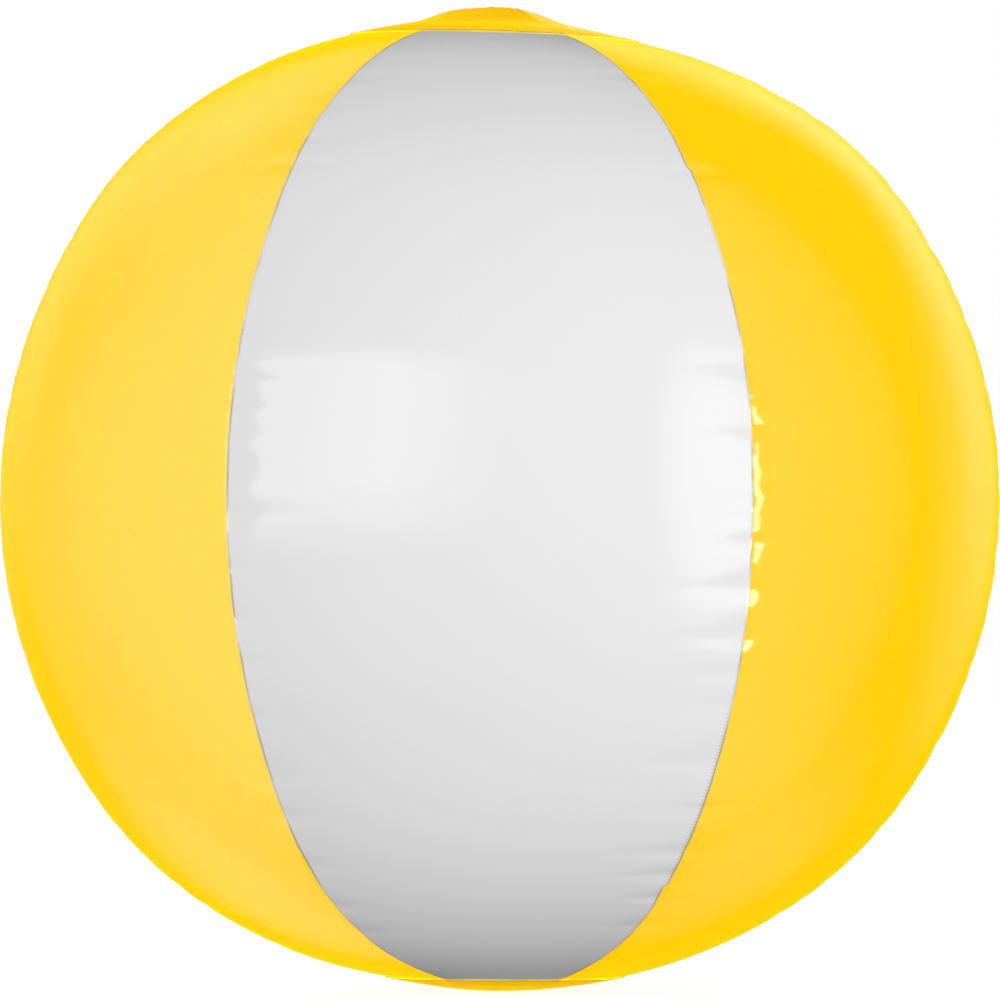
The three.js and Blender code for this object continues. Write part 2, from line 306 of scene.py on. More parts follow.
# %% The white film's cut edge
TOP_DISC_RADIUS, FOOT_DISC_RADIUS, DISC_LAP = 40.5 * MM, 33.5 * MM, 8 * MM
GORE_ROWS = 420
WHITE_LAP = -0.3 * MM
WANDER, WANDER_LENGTHS = 0.06 * MM, np.array([9, 23, 47]) * MM
FRONT_RIGHT_SEAM, FRONT_LEFT_SEAM = 0, 5
# Millimetres: place above the equator along the seam, drift of the cut edge, spread.
DRIFTS = {
    FRONT_RIGHT_SEAM: [(38, 1.0, 32), (-105, -1.0, 38), (-175, -1.0, 30)],
    FRONT_LEFT_SEAM: [(110, -1.3, 70), (-110, 0.7, 50), (-175, -1.0, 30)],
}
JOG_PLACE, JOG, JOG_FADE = 95.8 * MM, 0.9 * MM, 20 * MM
NICK_PLACE, NICK, NICK_FADE = -117.5 * MM, 1.2 * MM, 7 * MM
STEP_WIDTH = 1.6 * MM
TUCK_PULL = 0.5

seam_phases = rng.uniform(0, 2 * math.pi, (GORES, 3))
latitudes = np.linspace(
    -latitude_at(FOOT_DISC_RADIUS - DISC_LAP), latitude_at(TOP_DISC_RADIUS - DISC_LAP), GORE_ROWS
)[:, None]
row_radius = meridian(latitudes)[0]
row_along = BALL_RADIUS * latitudes


def seam_sines(lengths, phases):
    """A sum of sines along the seam, one for each wavelength."""
    waves = np.sin(row_along * (2 * math.pi / lengths) + phases)
    return waves.sum(axis=1, keepdims=True)


def edge_step(past, depth, fade):
    """A smooth step of this depth at 0, which fades as exp(-past / fade)."""
    return depth * smooth_step(0.5 + past / STEP_WIDTH) * np.exp(-np.maximum(past, 0) / fade)


def white_edge(seam):
    """How far the white film's cut edge lies past the seam, row by row: its lap, three sines of
    wander, what the tucks pull out, bell curves of drift on the front seams and, on the right one,
    a jog and a nick."""
    wander = seam_sines(WANDER_LENGTHS, seam_phases[seam])
    pull = TUCK_PULL * tuck_relief(row_along, np.zeros_like(row_along), seam_tucks[seam])
    edge = WHITE_LAP + WANDER / 2 * wander - pull
    for place, drift, spread in DRIFTS.get(seam, []):
        edge = edge + drift * MM * np.exp(-(((row_along / MM - place) / spread) ** 2))
    if seam == FRONT_RIGHT_SEAM:
        edge = edge - edge_step(row_along - JOG_PLACE, JOG, JOG_FADE)
        edge = edge - edge_step(NICK_PLACE - row_along, NICK, NICK_FADE)
    return edge


cut_edges = [white_edge(seam) for seam in range(GORES)]
print("Cut edges stray, in mm:", [round(float(np.ptp(edge)) / MM, 1) for edge in cut_edges])

# %% [markdown]
# No two welds pull alike: beside the front right seam the yellow film sinks, and its slope glints,
# while beside the front left seam it stands up a little. Under the white edge it always dips out of
# the way. Each gore is one grid, with its rows up the ball and its columns crowded at the seams.

# %% Gores
SEAM_LAP, LAP_GAP = 5 * MM, 0.03 * MM
# The roll of the yellow film beside each seam, from the front right one round to the front left.
ROLL = np.array([-0.45, -0.15, -0.15, -0.15, -0.15, 0.30]) * MM
ROLL_WIDTH = np.array([3.5, 5, 5, 5, 5, 10]) * MM
ROLL_REACH, ROLL_FADE = 75 * MM, 30 * MM
ROLL_SWING, SWING_LENGTHS = 0.25, np.array([17, 6.5]) * MM
UNDER_DIP, UNDER_WIDTH = 0.20 * MM, 0.7 * MM
GORE_COLUMNS = 98

waist = smooth_step((ROLL_REACH - np.abs(row_along)) / ROLL_FADE)
across = np.linspace(-1, 1, GORE_COLUMNS)
across = across * (1.5 - 0.5 * across**2)


def roll_depth(seam):
    """The depth of a seam's roll, row by row: it swings by two sines about its mean."""
    swing = seam_sines(SWING_LENGTHS, seam_phases[seam, :2])
    return waist * ROLL[seam] * (1 + ROLL_SWING * swing)


def make_gore(name, index, white):
    """One gore on its grid. Columns crowd towards the sides as x * (1.5 - 0.5 * x ** 2). The
    relief is the seams' tucks and, on a yellow gore, the roll of each seam, which fades as
    exp(-distance / width), with a dip under the white. A white gore rises evenly to clear it."""
    sides = (index - 1) % GORES, index
    edges = [cut_edges[seam] for seam in sides]
    laps = edges if white else [np.full_like(edge, SEAM_LAP - WHITE_LAP) for edge in edges]
    half = GORE_ANGLE / 2
    left, right = -half - laps[0] / row_radius, half + laps[1] / row_radius
    share = (across + 1) / 2
    turn = left + (right - left) * share
    along = np.broadcast_to(row_along, turn.shape)
    inside = (turn + half) * row_radius, (half - turn) * row_radius
    lift = np.zeros_like(turn)
    for seam, distance in zip(sides, inside):
        lift += tuck_relief(along, np.abs(distance), seam_tucks[seam])
    if white:
        from_edge = (turn - left) * row_radius, (right - turn) * row_radius
        clear = np.maximum(ROLL[list(sides)] + FILM + LAP_GAP, 0)
        lift += waist * (clear[0] * (1 - share) + clear[1] * share)
    else:
        from_edge = [distance - edge for distance, edge in zip(inside, edges)]
        for seam, past in zip(sides, from_edge):
            lift += roll_depth(seam) * np.exp(-np.maximum(past, 0) / ROLL_WIDTH[seam])
            lift -= UNDER_DIP * smooth_step(0.5 - past / UNDER_WIDTH)
    azimuth = index * GORE_ANGLE + turn
    piece = film_shell(
        name, on_ball(azimuth, latitudes, lift), on_ball(azimuth, latitudes, lift - FILM)
    )
    mark(piece, "edge_mm", np.minimum(*from_edge) / MM)
    mark(piece, "along_mm", along / MM)
    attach(piece, "ball")
    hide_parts(name.removesuffix("_film"))
    return piece


gores = {}
for index in range(GORES):
    colour = "yellow" if index % 2 else "white"
    name = f"{colour}_gore_{index // 2 + 1}_film"
    gores[name] = make_gore(name, index, colour == "white")
print("Gores:", [(name, len(piece.data.polygons)) for name, piece in gores.items()])

# %% [markdown]
# A gore starts as a flat cut of film. Its length is the arc that it covers and its width a sixth of
# the girth, with the laps added. The area is that of the same slice of a sphere. Each gore is held
# stretched by its two neighbours.

# %% The gores laid flat
gore_span = float(latitudes[-1, 0] - latitudes[0, 0])
gore_rise = float(np.sin(latitudes[-1, 0]) - np.sin(latitudes[0, 0]))
gore_length = BALL_RADIUS * gore_span
for index, (name, piece) in enumerate(gores.items()):
    laps = 2 * (SEAM_LAP - WHITE_LAP if name.startswith("yellow") else WHITE_LAP)
    flat = BALL_RADIUS * GORE_ANGLE + laps, gore_length
    cut_area = BALL_RADIUS**2 * GORE_ANGLE * gore_rise + laps * gore_length
    print(f"{name} is cut {flat[0] / MM:.1f} by {flat[1] / MM:.1f} mm")

# %% [markdown]
# Most other pieces go round the ball's axis, so their grids have a column for each azimuth. The
# first and last columns lie on the same points and are merged, which closes the ring. A Screw
# modifier would turn a plain outline as well, but the discs also change on their way round.

# %% Rings
MERGE_DISTANCE, LEAST_EDGE = 1e-7, 1e-8


def close_ring(piece):
    """Merges the points where a grid's first and last columns meet, drops the edge that two poles
    leave on the axis, and turns the faces round if the volume inside them is negative."""
    joined = bmesh.new()
    joined.from_mesh(piece.data)
    bmesh.ops.remove_doubles(joined, verts=joined.verts, dist=MERGE_DISTANCE)
    bmesh.ops.dissolve_degenerate(joined, edges=joined.edges, dist=LEAST_EDGE)
    on_axis = [edge for edge in joined.edges if edge.is_wire]
    bmesh.ops.delete(joined, geom=on_axis, context="EDGES")
    if joined.calc_volume(signed=True) < 0:
        bmesh.ops.reverse_faces(joined, faces=joined.faces)
    joined.to_mesh(piece.data)
    joined.free()
    piece.data.set_sharp_from_angle(angle=SHARP_ANGLE)
    return piece


def ring_sheet(name, points):
    """A grid of points whose first and last columns meet."""
    return close_ring(put_in_mesh(name, points.reshape(-1, 3), grid_quads(*points.shape[:2])))


def ring_loop(name, loop):
    """A closed profile on a ring of azimuths: its last row joins its first."""
    return ring_sheet(name, np.concatenate([loop, loop[:1]]))


def carried_round(radius, height, turn):
    """Points of this radius and height at each turn round the ball's axis."""
    return np.stack([radius * np.cos(turn), radius * np.sin(turn), height + 0 * turn], axis=-1)


print("Rings are grids whose ends meet")

# %% [markdown]
# The discs close the ball's ends. The top one lies over the gores' ends and is lifted in the
# middle by the valve's flange, a little more in front and behind than at the sides, with soft
# pleats where the film has to shrink on to the slope. The foot disc is pressed flat where the ball
# stands.

# %% Discs
DISC_ROWS, DISC_COLUMNS = 60, 289
LAY, FLANGE_LAND = 0.12 * MM, 3 * MM
VALVE_RISE, RIDGE_RISE, RIDGE_LEAN = 2.8 * MM, 0.5 * MM, 0.7 * MM
CREST_RADIUS, CREST_LEAN = 7.9 * MM, 1.7 * MM
RISE_SPREAD, SPREAD_LEAN = 16.5 * MM, 0.9 * MM
SLOPE_MIDDLE, SLOPE_WIDTH, SLOPE_SHARE = 0.5, 0.6, 2.4
PLEAT_DEPTH, RIM_FADE = 0.16 * MM, 5 * MM
# How many waves of each kind of pleat go round the axis, and their phases.
SLOPE_PLEATS = (9, 17, 26), (0.3, 1.1, 2.0)
TOP_RIM_PLEATS = (6, 13, 29), (0.0, 0.7, 2.6)
FOOT_RIM_PLEATS = (6, 11, 25), (0.4, 1.9, 0.2)

hole_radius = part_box("valve_flange")[1].x - FLANGE_LAND
round_axis = np.linspace(0, 2 * math.pi, DISC_COLUMNS)[None, :]


def pleat_waves(counts, phases):
    """A sum of cosines round the axis, each with its own count of waves, from 0 to 1."""
    waves = [np.cos(count * round_axis + phase) for count, phase in zip(counts, phases)]
    return 0.5 + 0.5 * np.mean(waves, axis=0)


def rim_pleats(radius, rim_radius, pleats):
    """Pleats along a disc's rim, which fade inwards as exp(-distance / fade)."""
    return np.exp((radius - rim_radius) / RIM_FADE) * pleat_waves(*pleats)


def cap_lift(radius):
    """How far the top disc's underside lies above the gores' outline: the valve's rise, which is
    highest in front and behind and comes down sooner on the right, plus pleats that are deepest on
    its slope and along the rim."""
    side = np.sin(round_axis)
    rise = VALVE_RISE + (RIDGE_RISE + RIDGE_LEAN * side) * (1 - side**2)
    crest = CREST_RADIUS - CREST_LEAN * (side + side**2)
    down = (radius - crest) / (RISE_SPREAD + SPREAD_LEAN * side)
    slope = np.exp(-(((down - SLOPE_MIDDLE) / SLOPE_WIDTH) ** 2))
    on_slope = slope * pleat_waves(*SLOPE_PLEATS) * SLOPE_SHARE
    on_rim = rim_pleats(radius, TOP_DISC_RADIUS, TOP_RIM_PLEATS)
    return LAY + rise * (1 - smooth_step(down)) + PLEAT_DEPTH * (on_slope + on_rim)


def disc_shell(name, latitude, lift):
    """Two faces a film apart, joined at their rims, and pressed flat where they reach the floor."""
    outer = on_ball(round_axis, latitude, lift + FILM)
    inner = on_ball(round_axis, latitude, lift)
    outer[..., 2] = np.maximum(outer[..., 2], 0)
    inner[..., 2] = np.maximum(inner[..., 2], FILM)
    return ring_loop(name, np.concatenate([outer, inner[::-1]]))


def mark_rim(piece, radius):
    """Keeps each point's distance from a disc's cut rim, in the plane of the disc."""
    places = np.empty(3 * len(piece.data.vertices), np.float32)
    piece.data.vertices.foreach_get("co", places)
    x, y, _ = places.reshape(-1, 3).T
    attribute = piece.data.attributes.new("edge_mm", "FLOAT", "POINT")
    attribute.data.foreach_set("value", (radius - np.hypot(x, y)) / MM)


top_rows = np.linspace(TOP_DISC_RADIUS, hole_radius, DISC_ROWS)[:, None]
top_disc = disc_shell("top_disc_film", latitude_at(top_rows), cap_lift(top_rows))
foot_rows = np.linspace(FOOT_DISC_RADIUS, 0, DISC_ROWS)[:, None]
foot_lift = LAY + PLEAT_DEPTH * rim_pleats(foot_rows, FOOT_DISC_RADIUS, FOOT_RIM_PLEATS)
foot_disc = disc_shell("foot_disc_film", -latitude_at(foot_rows), foot_lift)
for piece, node, radius, hole in (
    (top_disc, "top_disc", TOP_DISC_RADIUS, hole_radius),
    (foot_disc, "foot_disc", FOOT_DISC_RADIUS, 0),
):
    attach(piece, "ball")
    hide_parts(node)
    mark_rim(piece, radius)
    flat = 2 * radius, 2 * radius
    cut_area = math.pi * (radius**2 - hole**2)
    print(f"{piece.name} has {len(piece.data.polygons)} faces")

# %% [markdown]
# The valve is a soft moulding, so nothing on it has a sharp corner. Each turned piece is an outline
# of a few corners whose every corner is rounded by a short curve, carried round the axis. The sizes
# come from the boxes of the model's own valve pieces. The flange is welded to the top disc, so only
# its section is rounded like that, and its top follows the film.

# %% Firm valve pieces
TURN_COLUMNS, CORNER_STEPS = 97, 6
NEARLY_HALF, LEAST_SIDE = 0.48, 1e-9
STEM_RADIUS, BORE_RADIUS, LIP_HEIGHT = 5 * MM, 3.6 * MM, 1.4 * MM
HEAD_THICKNESS, HEAD_CROWN, CROWN_SHARE = 2 * MM, 0.7 * MM, 0.5
SHANK_RADIUS = 3.3 * MM
SEAT_GAP = 0.05 * MM
FLANGE, FLANGE_BED = 1.2 * MM, 0.5 * MM
SOFT = 0.45 * MM


def rounded(corners, fillet):
    """The outline with each corner replaced by a quadratic curve between the two points that lie a
    fillet away from it along its sides, or nearly half a side if that is less. A corner on the axis
    stays as it is, because there the outline only meets its own other half."""
    corners = np.asarray(corners, float)
    fillet = fillet * (corners[:, :1] != 0)
    before, after = np.roll(corners, 1, axis=0) - corners, np.roll(corners, -1, axis=0) - corners

    def cut(side):
        length = np.maximum(np.linalg.norm(side, axis=1, keepdims=True), LEAST_SIDE)
        return corners + side * np.minimum(fillet / length, NEARLY_HALF)

    t = np.linspace(0, 1, CORNER_STEPS)[None, :, None]
    start, end = cut(before)[:, None], cut(after)[:, None]
    curve = (1 - t) ** 2 * start + 2 * t * (1 - t) * corners[:, None] + t**2 * end
    return curve.reshape(-1, 2)


def turned(name, outline):
    """The closed outline of (radius, height) carried round the ball's axis."""
    turn = np.linspace(0, 2 * math.pi, TURN_COLUMNS)[None, :]
    return ring_loop(name, carried_round(outline[:, :1], outline[:, 1:], turn))


def box_sizes(node):
    """Outer radius, lowest and highest point of a valve piece of the model."""
    low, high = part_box(node)
    return high.x, low.z, high.z


lip_radius, stem_foot, stem_mouth = box_sizes("valve_stem")
head_radius, shank_foot, head_top = box_sizes("valve_plug")
ring_radius, ring_foot, ring_top = box_sizes("tether_ring")
flange_out, flange_foot, _ = box_sizes("valve_flange")
head_under = head_top - HEAD_THICKNESS
seat_radius = STEM_RADIUS + SEAT_GAP


def make_flange():
    """A ring under the top disc, round its hole. Its foot is level and takes in the funnel's rim, and
    its top follows the film: height = foot + share * (film - foot), with the share from a rounded
    outline."""
    outline = rounded([
        (hole_radius, 0), (flange_out, 0), (flange_out, FLANGE), (hole_radius, FLANGE),
    ], SOFT)
    radius, share = outline[:, :1], outline[:, 1:] / FLANGE
    points = on_ball(round_axis, latitude_at(radius), cap_lift(radius) - LAP_GAP)
    foot = flange_foot - FLANGE_BED
    points[..., 2] = foot + share * (points[..., 2] - foot)
    return ring_loop("valve_flange_ring", points)


stem = turned("valve_stem_tube", rounded([
    (BORE_RADIUS, stem_foot), (STEM_RADIUS, stem_foot),
    (STEM_RADIUS, stem_mouth - LIP_HEIGHT), (lip_radius, stem_mouth - LIP_HEIGHT),
    (lip_radius, stem_mouth), (BORE_RADIUS, stem_mouth),
], SOFT))
plug = turned("valve_plug_moulding", rounded([
    (0, shank_foot), (SHANK_RADIUS, shank_foot), (SHANK_RADIUS, head_under),
    (head_radius, head_under), (head_radius, head_top - HEAD_CROWN),
    (CROWN_SHARE * head_radius, head_top), (0, head_top),
], SOFT))
ring = turned("tether_ring_moulding", rounded([
    (seat_radius, ring_foot), (ring_radius, ring_foot),
    (ring_radius, ring_top), (seat_radius, ring_top),
], SOFT))
flange = make_flange()
for piece, node, body in (
    (stem, "valve_stem", "stem"), (plug, "valve_plug", "plug"),
    (ring, "tether_ring", "stem"), (flange, "valve_flange", "ball"),
):
    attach(piece, body)
    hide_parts(node)
firm_pieces = [stem, plug, ring, flange]
print("Firm:", [(piece.name, len(piece.data.polygons)) for piece in firm_pieces])

# %% [markdown]
# Three valve pieces bend or swing. The funnel joins the flange to the stem and rolls as the stem is
# pulled; here it is built once, from the flange at the top to the stem at the foot. The strap is a
# flat section carried along a loop, and stretches between the stem and the plug. The flap is a
# small disc with one straight side, its hinge.

# %% Soft valve pieces
MEMBRANE = 0.8 * MM
FUNNEL_INSET, FUNNEL_HASTE, FUNNEL_FALL = 0.5 * MM, 1.15, 1.6
FUNNEL_ROWS, STRAP_ROWS, FLAP_COLUMNS = 40, 48, 97
STRAP_HALF_WIDTH, STRAP_HALF_THICKNESS = 1.5 * MM, 0.4 * MM
FLAP_FILLET, LEAST_COSINE, NO_LIMIT = 0.25 * MM, 0.1, 1.0

_, funnel_foot, funnel_top = box_sizes("valve_membrane")


def unit_tangent(path):
    """The direction of a path at each of its points."""
    tangent = np.gradient(path, axis=0)
    return tangent / np.linalg.norm(tangent, axis=1, keepdims=True)


def make_funnel():
    """The middle line goes in from the flange to a collar round the stem as sin(pi / 2 * bend), with
    the bend a half cosine that is done a little before the foot, and down as share ** 1.6. The wall
    stands half its thickness to each side of it."""
    share = np.linspace(0, 1, FUNNEL_ROWS)
    bend = 0.5 - 0.5 * np.cos(math.pi * np.clip(share * FUNNEL_HASTE, 0, 1))
    rim, collar = flange_out - FUNNEL_INSET, seat_radius + MEMBRANE / 2
    radius = rim + (collar - rim) * np.sin(0.5 * math.pi * bend)
    height = funnel_top - MEMBRANE / 2 + (funnel_foot - funnel_top + MEMBRANE) * share**FUNNEL_FALL
    middle = np.stack([radius, height], axis=1)
    tangent = unit_tangent(middle)
    side = np.stack([tangent[:, 1], -tangent[:, 0]], axis=1) * MEMBRANE / 2
    return turned("valve_funnel", np.concatenate([(middle + side)[::-1], middle - side]))


def make_strap():
    """A rounded flat section carried along a loop: two straight runs joined by a half circle. Each
    end is closed by a row of points that all lie in the middle of the section."""
    low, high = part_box("plug_strap")
    bend = (high.z - low.z) / 2 - STRAP_HALF_THICKNESS
    bend_centre = high.x - STRAP_HALF_THICKNESS - bend
    level = (high.z + low.z) / 2
    angle = np.linspace(math.pi / 2, -math.pi / 2, STRAP_ROWS - 2)
    loop = np.stack([bend_centre + bend * np.cos(angle), level + bend * np.sin(angle)], axis=1)
    start, end = (head_radius - SOFT, level + bend), (ring_radius - SOFT, level - bend)
    path = np.concatenate([[start], loop, [end]])
    tangent = unit_tangent(path)
    section = rounded([
        (-STRAP_HALF_WIDTH, -STRAP_HALF_THICKNESS), (STRAP_HALF_WIDTH, -STRAP_HALF_THICKNESS),
        (STRAP_HALF_WIDTH, STRAP_HALF_THICKNESS), (-STRAP_HALF_WIDTH, STRAP_HALF_THICKNESS),
    ], STRAP_HALF_THICKNESS)
    section = np.concatenate([section, section[:1]])
    wide, thick = section[None, :, 0], section[None, :, 1]
    x = path[:, :1] + thick * tangent[:, 1:]
    z = path[:, 1:] - thick * tangent[:, :1]
    points = np.stack([x, wide + 0 * x, z], axis=-1)
    ends = [np.repeat(points[i].mean(axis=0)[None, None], points.shape[1], axis=1) for i in (0, -1)]
    return ring_sheet("plug_strap_loop", np.concatenate([ends[0], points, ends[1]]))


def make_flap():
    """A disc cut straight at its hinge: each radius is limited to the hinge line's distance over
    the cosine of its azimuth. The section is a thin rounded edge."""
    low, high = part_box("valve_flap")
    turn = np.linspace(0, 2 * math.pi, FLAP_COLUMNS)[None, :]
    cosine = np.cos(turn)
    hinge = high.x / np.maximum(cosine, LEAST_COSINE)
    limit = np.where(cosine > LEAST_COSINE, hinge, NO_LIMIT)
    outline = rounded([(0, low.z), (-low.x, low.z), (-low.x, high.z), (0, high.z)], FLAP_FILLET)
    radius = np.minimum(outline[:, :1], limit * outline[:, :1] / -low.x)
    return ring_sheet("valve_flap_disc", carried_round(radius, outline[:, 1:], turn))


funnel, strap, flap = make_funnel(), make_strap(), make_flap()
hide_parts("valve_membrane")
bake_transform(funnel)
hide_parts("plug_strap")
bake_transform(strap)
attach(flap, "flap")
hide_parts("valve_flap")
soft_pieces = [funnel, strap, flap]
print("Soft:", [(piece.name, len(piece.data.polygons)) for piece in soft_pieces])

# %% [markdown]
# A finish is a small network of shader nodes. Writing it as sums and products keeps it readable, so
# one class wraps a socket and turns Python's operators into Math nodes, and one method of the tree
# adds any other node.

# %% Shader sums


class Value:
    """A number on a shader socket. Sums, differences and products of it add Math nodes."""

    def __init__(self, tree, socket):
        self.tree, self.socket = tree, socket

    def math(self, operation, *terms):
        sockets = dict(enumerate((self, *terms)))
        return self.tree.node("ShaderNodeMath", {"operation": operation}, sockets)

    def __add__(self, other):
        return self.math("ADD", other)

    def __sub__(self, other):
        return self.math("SUBTRACT", other)

    def __mul__(self, other):
        return self.math("MULTIPLY", other)

    def __rsub__(self, other):
        return self.tree.node("ShaderNodeMath", {"operation": "SUBTRACT"}, {0: other, 1: self})

    __radd__, __rmul__ = __add__, __mul__

    def between(self, low, high):
        """0 up to low, 1 from high, and an even rise between them."""
        sockets = {"Value": self, "From Min": low, "From Max": high}
        return self.tree.node("ShaderNodeMapRange", {"clamp": True}, sockets)

    def plateau(self, start, low, high, end):
        """0 up to start, 1 from low to high, 0 from end, and an even slope on each side."""
        return self.between(start, low) * self.between(end, high)


class Tree:
    """The nodes of a material, of a lamp or of the world."""

    def __init__(self, owner):
        owner.use_nodes = True
        self.nodes, self.links = owner.node_tree.nodes, owner.node_tree.links
        self.nodes.clear()

    def node(self, kind, settings=None, sockets=None, output=0):
        """Adds a node, gives it its settings, then a value or a link for each socket named."""
        made = self.nodes.new(kind)
        for name, value in (settings or {}).items():
            setattr(made, name, value)
        for name, value in (sockets or {}).items():
            if isinstance(value, Value):
                self.links.new(value.socket, made.inputs[name])
            else:
                made.inputs[name].default_value = value
        return Value(self, made.outputs[output]) if len(made.outputs) else made

    def split(self, vector):
        """The three numbers of a vector, each as a value of its own."""
        made = self.node("ShaderNodeSeparateXYZ", sockets={0: vector}).socket.node
        return [Value(self, socket) for socket in made.outputs]

    def tint(self, share, low, high):
        """A colour between two: low where share is 0, high where it is 1."""
        settings = {"data_type": "RGBA"}
        return self.node("ShaderNodeMix", settings, {0: share, 6: low, 7: high}, output=2)

    def noise(self, place, lumps):
        """Noise from 0 to 1, with this many lumps to the metre."""
        return self.node("ShaderNodeTexNoise", sockets={"Vector": place, "Scale": lumps})

    def patches(self, place, lumps, low, high):
        """Noise made into patches: 0 where it is below low, 1 where it is above high."""
        return self.noise(place, lumps).between(low, high)


def new_material(name):
    material = bpy.data.materials.new(name)
    return material, Tree(material)


def darker(colour, share):
    """The colour with this share of its light, still opaque."""
    return (*(share * part for part in colour[:3]), 1)


print("Shader sums are ready")

# %% [markdown]
# The white film is opaque and glossy, a little cool in colour. Its gloss is almost even, with the
# faint orange peel of calendered film. The welding tool leaves fine ribs beside the cut edge, close
# together like a file's teeth. The cut edge's thin shadow is painted as a fine dull line. Low on
# the right painted shade between the ribs makes a dull hatch, and at the ball's middle a painted
# highlight makes the edge glint in specks.

# %% White film
WHITE, WHITE_CLOUD = (0.875, 0.875, 0.877, 1), 0.985
# Painted shade for the cut edge's line and the hatch between the ribs, and a painted highlight for
# its glints.
CUT_EDGE_SHADE, PAINTED_EDGE_GLINT = (0.42, 0.37, 0.14, 1), (0.97, 0.97, 0.95, 1)
VINYL_IOR = 1.5
RIGHT_HALF, HATCH_WAVE = (0, 20 * MM), (-0.2, 0.8)
LINE_LEAST, LINE_PATCHY, LINE_LOW, HATCH_SHARE = 0.15, 0.65, 0.9, 0.5
# Lumps to the metre and the share of the bump, for coarse peel and fine.
COARSE_PEEL, FINE_PEEL, PEEL = (160.0, 0.6), (700.0, 0.12), 0.06
# Millimetres. A reach is the distance from the cut edge where a mark starts and where it is full,
# and a stretch is where it starts along the seam, is full, is full no longer and ends.
RIB_REACH, RIB_PITCH, RIB_HEIGHT = (2.2, 0.2), 1.05, 0.03
LINE_REACH, HATCH_REACH, GLINT_REACH = (0.70, 0.25), (1.5, 0.9), (0.90, 0.40)
HATCH_STRETCH, GLINT_STRETCH = (-126, -112, -66, -52), (-40, -34, 0, 6)
# Lumps to the metre, and the noise where a patch starts and is full.
RIB_PATCHES, LINE_PATCHES = (30.0, 0.45, 0.6), (60.0, 0.42, 0.62)
GLINT_PATCHES, WHITE_CLOUDS = (150.0, 0.53, 0.58), (14.0, 0.35, 0.65)
GLOSS_LUMPS, WHITE_ROUGH = 60.0, (0.05, 0.04)


def rib_waves(along):
    """From -1 to 1, once in each pitch of the ribs."""
    return (along * (2 * math.pi / RIB_PITCH)).math("SINE")


def film_bump(tree, place, edge, along, peel_height):
    """Orange peel all over, and ribs a pitch apart in a band beside the edge."""
    coarse, fine = (tree.noise(place, lumps) * share for lumps, share in (COARSE_PEEL, FINE_PEEL))
    band = edge.between(*RIB_REACH) * tree.patches(place, *RIB_PATCHES)
    height = (coarse + fine) * peel_height + rib_waves(along) * band * RIB_HEIGHT
    sockets = {"Height": height, "Strength": 1.0, "Distance": MM}
    return tree.node("ShaderNodeBump", sockets=sockets)


def film_gloss(tree, place, least, spread):
    """A roughness that clouds over by the spread."""
    return least + tree.noise(place, GLOSS_LUMPS) * spread


def film_readings(tree):
    """Where the surface is, how far from the cut edge, and how far along the seam, which is 0 all
    over a disc."""
    place = tree.node("ShaderNodeTexCoord", output="Object")
    edge = tree.node("ShaderNodeAttribute", {"attribute_name": "edge_mm"}, output="Fac")
    along = tree.node("ShaderNodeAttribute", {"attribute_name": "along_mm"}, output="Fac")
    return place, edge, along


def make_white_film():
    material, tree = new_material("white_film")
    place, edge, along = film_readings(tree)
    low = tree.split(place)[0].between(*RIGHT_HALF) * along.plateau(*HATCH_STRETCH)
    # Painted shade: the cut edge's thin shadow as a patchy dull line, full along the low right
    # stretch.
    patchy = LINE_LEAST + LINE_PATCHY * tree.patches(place, *LINE_PATCHES)
    line = edge.between(*LINE_REACH) * patchy.math("MAXIMUM", LINE_LOW * low)
    # Painted shade between the ribs, a dull hatch beside the edge low on the right.
    rib_shade = low * edge.between(*HATCH_REACH) * rib_waves(along).between(*HATCH_WAVE)
    line = line.math("MAXIMUM", HATCH_SHARE * rib_shade)
    # Painted highlight: the cut edge glints in specks at the ball's middle.
    glint_specks = tree.patches(place, *GLINT_PATCHES)
    glint = along.plateau(*GLINT_STRETCH) * edge.between(*GLINT_REACH) * glint_specks
    clouds = tree.patches(place, *WHITE_CLOUDS)
    film = tree.tint(clouds, WHITE, darker(WHITE, WHITE_CLOUD))
    colour = tree.tint(glint, tree.tint(line, film, CUT_EDGE_SHADE), PAINTED_EDGE_GLINT)
    shader = tree.node("ShaderNodeBsdfPrincipled", sockets={
        "Base Color": colour, "Roughness": film_gloss(tree, place, *WHITE_ROUGH),
        "IOR": VINYL_IOR, "Normal": film_bump(tree, place, edge, along, PEEL),
    })
    tree.node("ShaderNodeOutputMaterial", sockets={"Surface": shader})
    return material


white_film = make_white_film()
print("Made", white_film.name)

# %% [markdown]
# The yellow film is dyed but not filled, so light goes through it: the inside of the ball glows and
# the yellow stays bright where the white beside it is already grey. A translucent shader added to
# a glossy one does that. Both faces of the film are in the light's way, so each takes only part. The
# discs wear the same film, but they lie on other film and are more crumpled.

# %% Yellow film
YELLOW_BACK, YELLOW_CLOUD = (0.13, 0.098, 0.001, 1), 0.96
YELLOW_CLOUDS = 18.0, 0.35, 0.65
RIM_REACH, RIM_SHARE = (0.50, 0.20), 0.8
YELLOW_SHEEN = {"Sheen Weight": 0.35, "Sheen Roughness": 0.4, "Sheen Tint": (1.0, 0.88, 0.0, 1)}
GORE_THROUGH, DISC_THROUGH = (0.85, 0.727, 0.001, 1), (0.78, 0.67, 0.002, 1)
# Painted edge colours: paler on a gore, as painted light over the dip beside the white edge, and
# darker on a disc, as painted shade under its rim.
GORE_EDGE_LIGHT, DISC_EDGE_SHADE = (0.80, 0.74, 0.26, 1), (0.50, 0.42, 0.05, 1)
GORE_ROUGH, DISC_ROUGH = (0.06, 0.05), (0.18, 0.05)
DISC_CRUMPLE = 0.30


def add_translucent(tree, skin, let_through):
    """The skin's own light and the light that comes through from behind it."""
    through = tree.node("ShaderNodeBsdfTranslucent", sockets={"Color": let_through})
    return tree.node("ShaderNodeAddShader", sockets={0: skin, 1: through})


